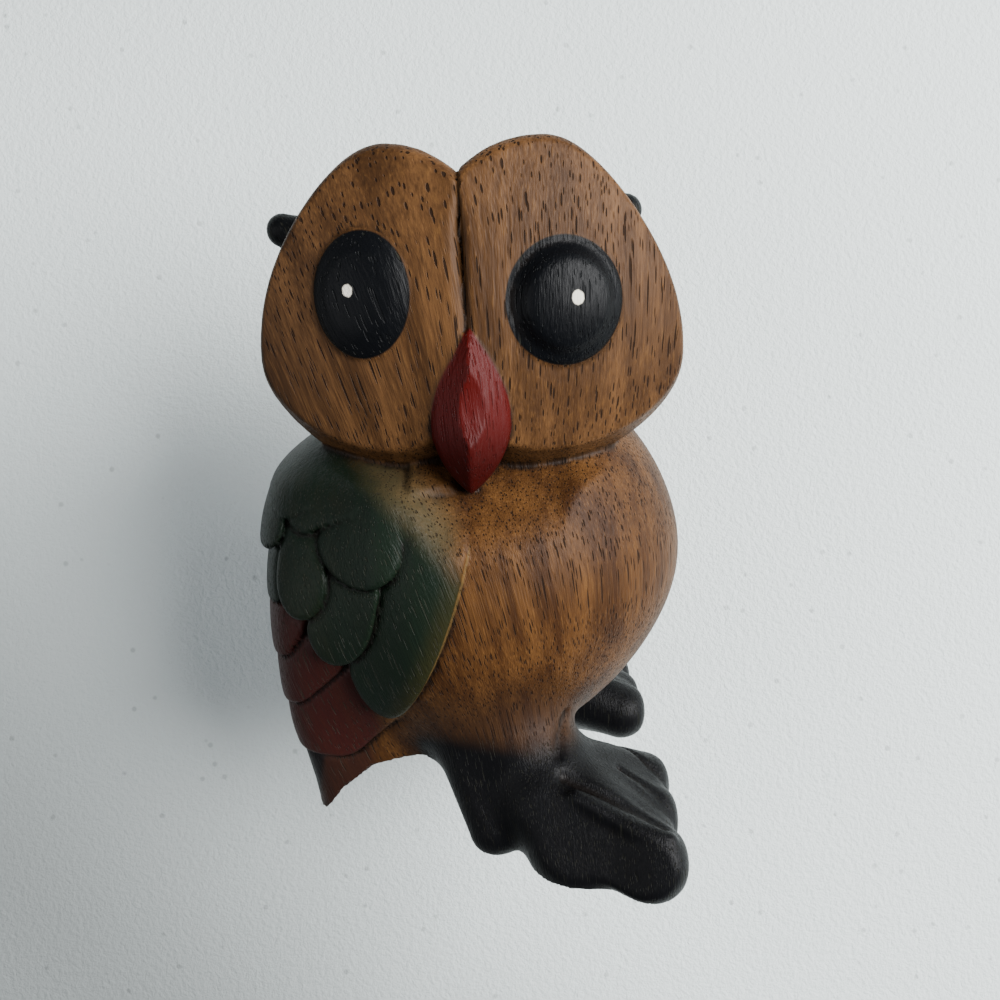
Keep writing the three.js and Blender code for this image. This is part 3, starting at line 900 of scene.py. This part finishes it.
def wing_paint(box, wood, uneven, wobble):
    """The green of the wing and, beside it, a grey-olive haze that is partly thin overspray of the green and
    partly a painted sheen, over the wood. Gives colour and cover.
    """
    mist_and_sheen = box.times(*(box.fall(box.mask(name), *MIST_AND_SHEEN[name]) for name in ("fade", "front", "leaf")))
    near_edge = box.times(
        box.step(box.mask("front"), *OLIVE["front"]),
        box.fall(box.mask("leaf"), *OLIVE["leaf"]),
    )
    leaf = box.fall(box.math("ADD", box.mask("leaf"), wobble), *GREEN["leaf"])
    fade = box.fall(box.math("MULTIPLY_ADD", uneven, UNEVEN_FADE, box.mask("fade")), *GREEN["fade"])
    green = box.times(box.math("MAXIMUM", leaf, box.mask("plumes")), fade)
    shade = box.lay(tone(*GREEN["colour"]), OLIVE, near_edge)
    # The haze beside the green is partly overspray and partly painted sheen
    with_mist_and_sheen = box.lay(wood, MIST_AND_SHEEN, mist_and_sheen)
    return box.mix(box.times(green, GREEN["share"]), with_mist_and_sheen, shade), green


def other_paints(box, colour, paint, uneven, wobble):
    for name, layer in SOFT_PAINTS.items():
        spread = box.math("MULTIPLY_ADD", uneven, UNEVEN_SOFT, box.mask(name))
        share = box.times(box.step(spread, *SOFT_LIMITS), layer["share"])
        colour = box.mix(share, colour, tone(*layer["colour"]))
        paint = box.math("MAXIMUM", paint, share)
    for name, shade in SHARP_PAINTS.items():
        share = box.fall(box.math("ADD", box.mask(name), wobble), *SHARP_LIMITS)
        colour = box.mix(share, colour, tone(*shade))
        paint = box.math("MAXIMUM", paint, share)
    return colour, paint


def open_pores(box, colour, paint, pore):
    share = box.times(
        pore,
        box.math("MULTIPLY_ADD", paint, PORE_SHARE["paint"], PORE_SHARE["wood"]),
        box.math("MULTIPLY_ADD", box.mask("black"), PORE_SHARE["black"], 1),
        box.step(box.mask("eye"), *PORE_SHARE["eye"]),
        box.step(box.mask("beak"), *PORE_SHARE["beak"]),
    )
    return box.mix(share, colour, box.mix(paint, tone(*WOOD_PORE), tone(*PAINTED_PORE)))


def stain_shade_and_wear(box, colour, place, blotch):
    """Dark stain and painted shade in the hollows, painted shade low on the beak, and the front feather's
    worn edge.
    """
    # Painted shade, with some dark stain, in the hollows
    close = box.step(box.mask("close"), *HOLLOW_STAIN_AND_SHADE["close"])
    wide = box.step(box.mask("wide"), *HOLLOW_STAIN_AND_SHADE["wide"])
    colour = box.lay(colour, HOLLOW_STAIN_AND_SHADE, box.math("MAXIMUM", close, wide))
    worn = box.times(
        box.ridge(box.mask("front"), WORN["width"]),
        box.step(blotch, *WORN["blotch"]),
        box.fall(box.mask("leaf"), *WORN["leaf"]),
        box.fall(box.mask("fade"), *WORN["fade"]),
    )
    colour = box.lay(colour, WORN, worn)
    # Painted shade, darker low on the beak
    height = box.node("ShaderNodeSeparateXYZ", {"Vector": place}).outputs["Z"]
    on_beak = box.fall(box.mask("beak"), *BEAK_TIP_SHADE["beak"])
    return box.lay(colour, BEAK_TIP_SHADE, box.times(box.fall(height, *BEAK_TIP_SHADE["z"]), on_beak))


def stained_wood():
    box = Paintbox("stained wood")
    place = box.node("ShaderNodeTexCoord").outputs["Object"]
    streaks = grain_noise(box, STREAKS)
    fibre = grain_noise(box, FIBRES)
    blotch = box.noise(place, BLOTCHES, 2)
    pore = box.math("MAXIMUM", pores(box, *SMALL_PORES), pores(box, *LARGE_PORES))
    uneven = box.math("MULTIPLY_ADD", blotch, *UNEVEN)
    wobble = box.times(uneven, UNEVEN_SHARP)

    wood = bare_wood(box, streaks, fibre)
    colour, paint = wing_paint(box, wood, uneven, wobble)
    colour, paint = other_paints(box, colour, paint, uneven, wobble)
    colour = open_pores(box, colour, paint, pore)
    colour = stain_shade_and_wear(box, colour, place, blotch)
    dot = box.fall(box.math("ADD", box.mask("dot"), wobble), *DOT["dot"])
    colour = box.mix(dot, colour, tone(*DOT["colour"]))

    rough = box.math("MULTIPLY_ADD", paint, ROUGHNESS["paint"], ROUGHNESS["least"])
    rough = box.math("MULTIPLY_ADD", fibre, ROUGHNESS["fibre"], rough)
    rough = box.math("MULTIPLY_ADD", pore, ROUGHNESS["pore"], rough)
    relief = box.times(fibre, RELIEF["fibre"])
    relief = box.math("MULTIPLY_ADD", pore, RELIEF["pore"], relief)
    relief = box.math("MULTIPLY_ADD", streaks, RELIEF["streaks"], relief)
    relief = box.math("MULTIPLY_ADD", blotch, RELIEF["blotch"], relief)
    bump = box.node("ShaderNodeBump", {"Height": relief, "Distance": RELIEF_HEIGHT, "Strength": 1})
    box.set(box.shader.inputs["Base Color"], colour)
    box.set(box.shader.inputs["Roughness"], rough)
    box.set(box.shader.inputs["Normal"], bump.outputs["Normal"])
    box.shader.inputs["Specular IOR Level"].default_value = SPECULAR
    return box.material


# The sheet behind the owl: two pale tones, small dark specks and a painted shadow that darkens its lower
# left corner

PAPER = ((206, 215, 213), (214, 222, 220))
PAPER_CLOUDS = 12
PAPER_SPECK = {"colour": (120, 124, 122), "share": 0.4, "per_metre": 160, "size": (0.05, 0.12)}
# Painted shadow: the sheet is darker towards its lower left corner
PAPER_CORNER_SHADOW = {"colour": (20, 22, 22), "share": 0.7, "limits": (-0.15, 0)}
PAPER_TOOTH = {"scale": 900, "detail": 3, "roughness": 0.7}
PAPER_ROUGHNESS = 0.75
PAPER_BUMP = 0.5


def pale_paper():
    box = Paintbox("pale paper")
    place = box.node("ShaderNodeTexCoord").outputs["Object"]
    parts = box.node("ShaderNodeSeparateXYZ", {"Vector": place}).outputs
    tooth = box.noise(place, **PAPER_TOOTH)
    colour = box.mix(box.noise(place, PAPER_CLOUDS, 2), tone(*PAPER[0]), tone(*PAPER[1]))
    cells = box.node("ShaderNodeTexVoronoi", {"Vector": place, "Scale": PAPER_SPECK["per_metre"],
                                              "Randomness": 1})
    colour = box.lay(colour, PAPER_SPECK, box.fall(cells.outputs["Distance"], *PAPER_SPECK["size"]))
    # Painted shadow towards the lower left corner
    across = box.math("ADD", parts["X"], parts["Z"])
    colour = box.lay(colour, PAPER_CORNER_SHADOW, box.fall(across, *PAPER_CORNER_SHADOW["limits"]))
    bump = box.node("ShaderNodeBump", {"Height": tooth, "Distance": RELIEF_HEIGHT,
                                       "Strength": PAPER_BUMP})
    box.set(box.shader.inputs["Base Color"], colour)
    box.set(box.shader.inputs["Normal"], bump.outputs["Normal"])
    box.shader.inputs["Roughness"].default_value = PAPER_ROUGHNESS
    # From behind the sheet is clear, so that it never hides the owl's back
    one_sided = box.node("ShaderNodeMixShader")
    box.set(one_sided.inputs[0], box.node("ShaderNodeNewGeometry").outputs["Backfacing"])
    box.set(one_sided.inputs[1], box.shader.outputs["BSDF"])
    box.set(one_sided.inputs[2], box.node("ShaderNodeBsdfTransparent").outputs["BSDF"])
    box.set(box.tree.nodes["Material Output"].inputs["Surface"], one_sided.outputs["Shader"])
    return box.material


owl, middle = owl_piece()
owl.data.materials.append(stained_wood())
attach(owl, "root")
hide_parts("owl")


# The pale backdrop that the owl is seen against, square to the view

VIEW_FROM = (4.5, -160, 86)
VIEW_DOWN = np.radians(13)
BEHIND = (0, 38.8, 4)  # just behind the far foot, the hindmost part of the owl
BACKDROP_GAP = 0.5
BACKDROP_HALF = 600


def backdrop():
    forward = np.array([0, np.cos(VIEW_DOWN), -np.sin(VIEW_DOWN)])
    up = np.array([0, np.sin(VIEW_DOWN), np.cos(VIEW_DOWN)])
    right = np.array([1, 0, 0])
    centre = np.array(BEHIND) + forward * BACKDROP_GAP
    corners = []
    for i, j in ((-1, -1), (1, -1), (1, 1), (-1, 1)):
        corners.append(tuple((centre + BACKDROP_HALF * (right * i + up * j)) * MM))
    mesh = bpy.data.meshes.new("backdrop")
    mesh.from_pydata(corners, [], [(0, 1, 2, 3)])
    piece = bpy.data.objects.new("backdrop", mesh)
    bpy.context.collection.objects.link(piece)
    piece.data.materials.append(pale_paper())


# Soft light from a large lamp at the upper right, and a little from the left and the sky

KEY = {"place": (470, -400, 270), "aim": (0, 20, 50), "size": 560, "power": 17}
FILL = {"place": (-400, -300, 60), "aim": (0, 0, 50), "size": 400, "power": 0.9}
SKY = {"colour": (0.85, 0.9, 1, 1), "strength": 0.38}


def area_light(name, place, aim, size, power):
    data = bpy.data.lights.new(name, "AREA")
    data.shape = "DISK"
    data.size = size * MM
    data.energy = power
    light = bpy.data.objects.new(name, data)
    light.location = Vector(place) * MM
    light.rotation_euler = (Vector(aim) - Vector(place)).to_track_quat("-Z", "Y").to_euler()
    bpy.context.collection.objects.link(light)


def sky():
    world = bpy.data.worlds.new("studio")
    world.use_nodes = True
    background = world.node_tree.nodes["Background"]
    background.inputs["Color"].default_value = SKY["colour"]
    background.inputs["Strength"].default_value = SKY["strength"]
    bpy.context.scene.world = world


def camera():
    data = bpy.data.cameras.new("camera")
    data.sensor_width = 36
    data.lens = 36
    eye = bpy.data.objects.new("camera", data)
    eye.location = [(v - m) * MM for v, m in zip(VIEW_FROM, middle)]
    eye.rotation_euler = (np.pi / 2 - VIEW_DOWN, 0, 0)
    bpy.context.collection.objects.link(eye)
    bpy.context.scene.camera = eye


backdrop()
area_light("key", **KEY)
area_light("fill", **FILL)
sky()
camera()
